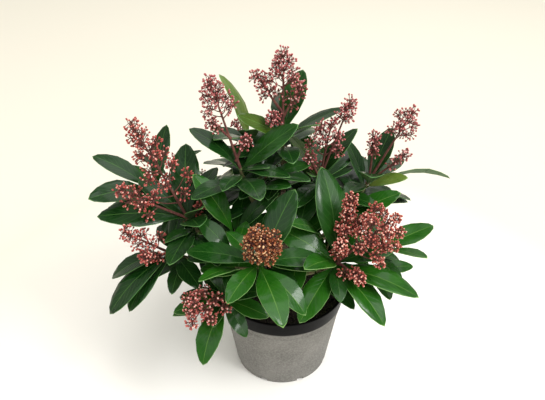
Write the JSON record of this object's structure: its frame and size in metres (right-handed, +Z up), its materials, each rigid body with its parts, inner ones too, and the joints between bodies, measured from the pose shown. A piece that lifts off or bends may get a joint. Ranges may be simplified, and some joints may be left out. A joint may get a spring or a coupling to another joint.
{
  "type": "potted skimmia",
  "caption": "Compact evergreen shrub with whorls of glossy oval leaves and spikes of small red-brown flower buds, in a round tapered nursery pot.",
  "frame": {"origin": "centre of the pot's flat underside", "axes": "+Z up along the pot's axis, -Y towards the shrub's front, where its round head of buds stands, +X to the right seen from the front"},
  "size_m": [0.4402, 0.4027, 0.441],
  "materials": {
    "pot": "matte",
    "compost": "matte",
    "bark": "matte",
    "foliage": "satin",
    "buds": "satin"
  },
  "bodies": {
    "root": {"back_bough": "bark", "back_spray": "foliage", "far_left_back_spray": "foliage", "far_left_bough": "bark", "far_left_spray": "foliage", "far_right_spray": "foliage", "front_bough": "bark", "front_spray": "foliage", "high_back_bough": "bark", "inner_front_bough": "bark", "inner_front_spray": "foliage", "inner_left_bough": "bark", "inner_left_spray": "foliage", "inner_right_bough": "bark", "inner_right_spray": "foliage", "leader": "bark", "left_back_bough": "bark", "left_back_spray": "foliage", "left_bough": "bark", "left_spray": "foliage", "low_back_bough": "bark", "low_back_spray": "foliage", "low_front_bough": "bark", "low_front_spray": "foliage", "low_left_bough": "bark", "low_left_spray": "foliage", "low_right_back_bough": "bark", "low_right_bough": "bark", "low_right_spray": "foliage", "middle_bough": "bark", "middle_spray": "foliage", "pot": "pot", "right_back_bough": "bark", "right_back_spray": "foliage", "right_bough": "bark", "right_front_spray": "foliage", "soil": "compost", "top_spray": "foliage", "trunk": "bark", "upper_back_bough": "bark", "upper_back_spray": "foliage", "upper_left_bough": "bark", "upper_left_spray": "foliage", "upper_right_bough": "bark", "upper_right_spray": "foliage"}
  },
  "joints": []
}
